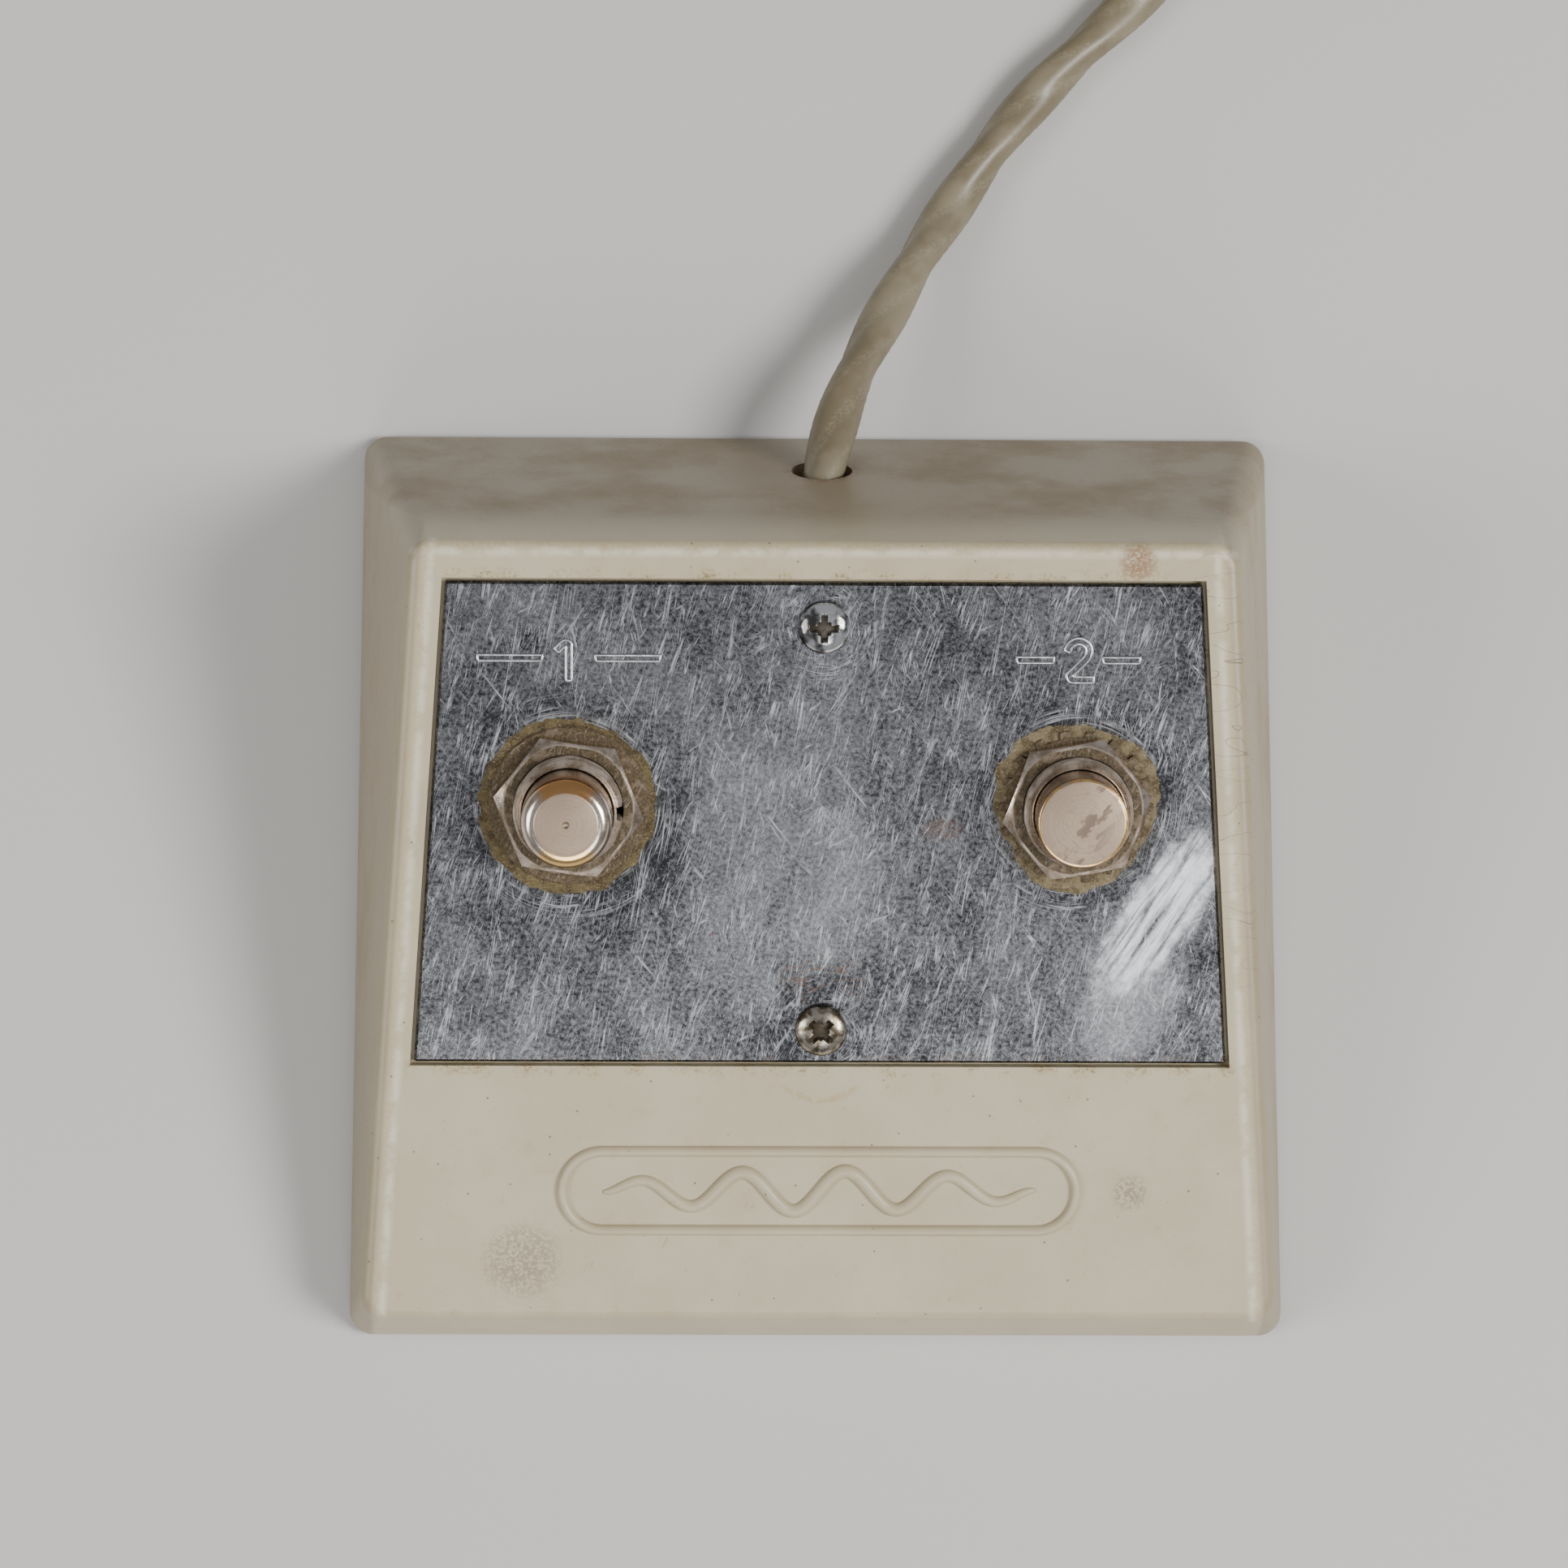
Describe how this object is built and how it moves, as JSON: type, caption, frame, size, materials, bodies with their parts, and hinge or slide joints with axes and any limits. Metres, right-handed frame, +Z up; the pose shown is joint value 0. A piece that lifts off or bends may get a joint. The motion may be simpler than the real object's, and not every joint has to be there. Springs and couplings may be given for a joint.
{
  "type": "footswitch",
  "caption": "Sloped floor switch with push buttons through a steel plate, a twisted cord and a phone plug.",
  "frame": {"origin": "on the floor under the middle of the housing, cord left out", "axes": "+Z up, +Y towards the side that the cord leaves, +X to the right as the player sees it"},
  "size_m": [0.144, 0.2587, 0.0432],
  "materials": {
    "housing_plastic": "warm grey moulded plastic, satin, with yellowed worn edges",
    "chromed_steel": "chromed steel sheet, heavily scratched",
    "screw_steel": "plated steel screws",
    "nickel_plate": "nickel-plated brass, tarnished, with tan grime",
    "worn_nickel": "nickel-plated brass, worn through to brass at the shoulder",
    "spring_steel": "spring steel wire",
    "zinc_steel": "zinc-plated steel sheet",
    "phenolic": "brown phenolic",
    "brass": "brass, soldered",
    "solder": "tin-lead solder",
    "rubber": "black rubber",
    "red_wire": "red insulated wire",
    "black_wire": "black insulated wire",
    "white_wire": "white insulated wire",
    "cord_pvc": "grey-olive vinyl cord, semi-gloss",
    "plug_black": "black moulded plastic",
    "plug_nickel": "nickel-plated brass",
    "plug_insulator": "black insulator rings"
  },
  "bodies": {
    "switch_unit": {"base_cover": "zinc_steel", "common_wire": "white_wire", "cord_clip": "zinc_steel", "cord_coil": "cord_pvc", "cord_tail": "cord_pvc", "cord_tube": "cord_pvc", "foot_screws": "screw_steel", "housing": "housing_plastic", "left_bushing": "nickel_plate", "left_contact_block": "phenolic", "left_flat_washer": "nickel_plate", "left_hex_nut": "nickel_plate", "left_jam_nut": "nickel_plate", "left_return_spring": "spring_steel", "left_signal_wire": "red_wire", "left_switch_case": "zinc_steel", "left_terminals": "brass", "plate_screw_back": "screw_steel", "plate_screw_front": "screw_steel", "plug_handle": "plug_black", "plug_insulators": "plug_insulator", "plug_relief": "plug_black", "plug_ring": "plug_nickel", "plug_sleeve": "plug_nickel", "plug_tip": "plug_nickel", "right_bushing": "nickel_plate", "right_contact_block": "phenolic", "right_hex_nut": "nickel_plate", "right_jam_nut": "nickel_plate", "right_return_spring": "spring_steel", "right_signal_wire": "black_wire", "right_switch_case": "zinc_steel", "right_terminals": "brass", "right_tooth_washer": "nickel_plate", "rubber_foot_back_left": "rubber", "rubber_foot_back_right": "rubber", "rubber_foot_front_left": "rubber", "rubber_foot_front_right": "rubber", "solder_joints": "solder", "switch_link_wire": "black_wire", "top_plate": "chromed_steel"},
    "left_button": {"left_plunger": "worn_nickel"},
    "right_button": {"right_plunger": "worn_nickel"},
    "left_ratchet": {"left_rotor": "phenolic"},
    "right_ratchet": {"right_rotor": "phenolic"}
  },
  "joints": [
    {"name": "left_press", "type": "slide", "parent": "switch_unit", "child": "left_button", "axis": [0, 0.3516, -0.9361], "range_m": [0, 0.0035], "stiffness_N_per_m": 2000, "springref_m": -0.0015, "deforming": ["left_return_spring"]},
    {"name": "left_ratchet_turn", "type": "hinge", "parent": "switch_unit", "child": "left_ratchet", "pos_m": [-0.0277, 0.00826, 0.01734], "axis": [0, -0.3516, 0.9361], "range_deg": [0, 46]},
    {"name": "right_press", "type": "slide", "parent": "switch_unit", "child": "right_button", "axis": [0, 0.3516, -0.9361], "range_m": [0, 0.0035], "stiffness_N_per_m": 2000, "springref_m": -0.0015, "deforming": ["right_return_spring"]},
    {"name": "right_ratchet_turn", "type": "hinge", "parent": "switch_unit", "child": "right_ratchet", "pos_m": [0.0277, 0.00826, 0.01734], "axis": [0, -0.3516, 0.9361], "range_deg": [0, 46]}
  ],
  "couplings": [
    {"joint": "left_ratchet_turn", "follows": "left_press", "rad_per_m": 224.4},
    {"joint": "right_ratchet_turn", "follows": "right_press", "rad_per_m": 224.4}
  ]
}
